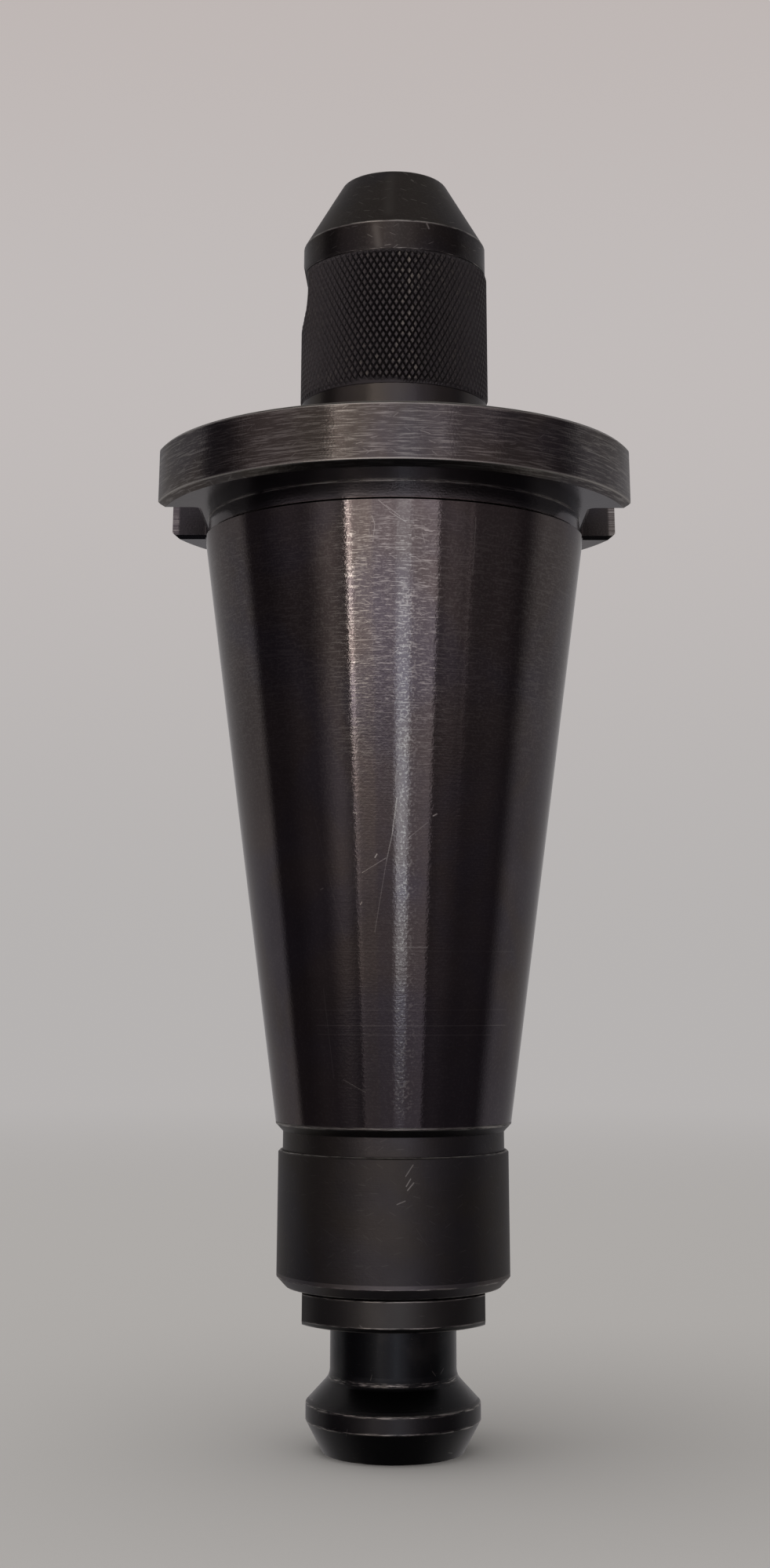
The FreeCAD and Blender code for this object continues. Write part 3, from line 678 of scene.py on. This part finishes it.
# painted highlight: the crests are made bright mostly in a column that faces the camera; elsewhere the
# rubbing is wear
column = maths(tree, "ABSOLUTE", maths(tree, "SUBTRACT", around, 2.2))
column = eased(tree, column, 0.6, 3.4, 0.75, 0.0)
where = maths(tree, "MULTIPLY_ADD", eased(tree, handled, 0.42, 0.70), 0.45, column)
bright = product(tree, crest, eased(tree, rubbed, 0.46, 0.72), where)
steel = blend_colours(tree, crest, GRIP_VALLEY, GRIP_CREST)
# painted light: the grip is made lighter on its left side, as the light falls there
steel = blend_colours(tree, eased(tree, around, -13.0, -3.0, 0.45, 0.0), steel, GRIP_PAINTED_LIGHT_LEFT)
steel = blend_colours(tree, bright, steel, GRIP_WEAR_AND_SHEEN)
end_in_metal(tree, steel, eased(tree, handled, 0.3, 0.7, 0.48, 0.60))
knurl.data.materials.append(knurl_finish)
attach(knurl, "holder")


# Set screw
# A hardened cup-point socket screw that clamps the cutter's flat. It is blacked and screws in
# from the left of the nose until its socket end is just below the knurl.

SCREW_DARK, SCREW_BROWN = (0.045, 0.042, 0.041, 1), (0.075, 0.068, 0.062, 1)
SCREW_FLECK = (0.30, 0.28, 0.26, 1)

screw_finish = bpy.data.materials.new("blacked_screw_steel")
tree = emptied_tree(screw_finish)
point = place(tree, "ShaderNodeTexCoord").outputs["Object"]
speckle = noise(tree, point, 600.0, 3.0)
cloud = noise(tree, point, 160.0, 2.0)
steel = blend_colours(tree, eased(tree, cloud, 0.35, 0.65), SCREW_DARK, SCREW_BROWN)
steel = blend_colours(tree, eased(tree, speckle, 0.66, 0.72), steel, SCREW_FLECK)
end_in_metal(tree, steel, eased(tree, speckle, 0.3, 0.7, 0.28, 0.42))
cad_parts["set_screw"].material_slots[0].material = screw_finish


# Retention knob
# The pull stud that the spindle's drawbar grips: a blacked, hardened and smoothly turned steel stud
# with a collar with two spanner flats, a narrow neck and a conical head. It screws into the pilot.

COLLAR_END, NECK_END, HEAD_TOP, HEAD_BOTTOM, KNOB_END = -132.135, -140.735, -144.685, -147.235, -151.985
KNOB_CLOUD, KNOB_BARE = (0.075, 0.071, 0.068, 1), (0.36, 0.34, 0.32, 1)

knob_finish = bpy.data.materials.new("blacked_knob_steel")
tree = emptied_tree(knob_finish)
point = place(tree, "ShaderNodeTexCoord").outputs["Object"]
at = apply(tree, turned_part, Point=point)
steel, rough = zone_finish(tree, at["Height"], [
    (-152, (0.030, 0.029, 0.031), 0.30),             # bevelled end
    (HEAD_BOTTOM, (0.031, 0.030, 0.032), 0.34),      # head
    (HEAD_TOP, (0.024, 0.024, 0.026), 0.26),         # pulling cone
    (NECK_END, (0.018, 0.019, 0.021), 0.29),         # neck
    (COLLAR_END, (0.052, 0.050, 0.049), 0.38)])      # collar
cloud = noise(tree, point, 130.0, 5.0)
steel = blend_colours(tree, eased(tree, cloud, 0.45, 0.70, 0.0, 0.30), steel, KNOB_CLOUD)
feed = apply(tree, lathe_lines, Rim=at["Rim"], Round=10.0, Along=9.0, Cut=0.66, Soft=0.08)
cross = apply(tree, scattered_dashes, Unrolled=at["Unrolled"], Cell=4.0, Length=1.4, Width=0.11,
              Slant=0.0, Spread=3.0, Kept=0.3)["Mask"]
bare = largest(tree, [maths(tree, "MULTIPLY", feed["Lines"], 0.12), maths(tree, "MULTIPLY", cross, 0.4)])
bare = with_worn_corners(tree, bare, at, [
    (14.4, HEAD_TOP, 0.34, 0.40), (14.45, HEAD_BOTTOM, 0.30, 0.42), (11.7, KNOB_END, 0.25, 0.48),
    # the bare line where the neck meets the pulling cone is partly wear and partly painted highlight
    (10.8, NECK_END, 0.48, 0.44), (17.5, COLLAR_END + 0.7, 0.24, 0.40),
    (16.8, COLLAR_END, 0.30, 0.30), (17.5, PILOT_END - 0.4, 0.24, 0.38)])
steel = blend_colours(tree, bare, steel, KNOB_BARE)
bump = {"Strength": 0.2, "Distance": 0.00004, "Height": feed["Grain"]}
bump = place(tree, "ShaderNodeBump", bump).outputs[0]
end_in_metal(tree, steel, rough, {"Normal": bump})
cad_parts["retention_knob"].material_slots[0].material = knob_finish


# Last, the scene is brought up to date.

bpy.context.view_layer.update()
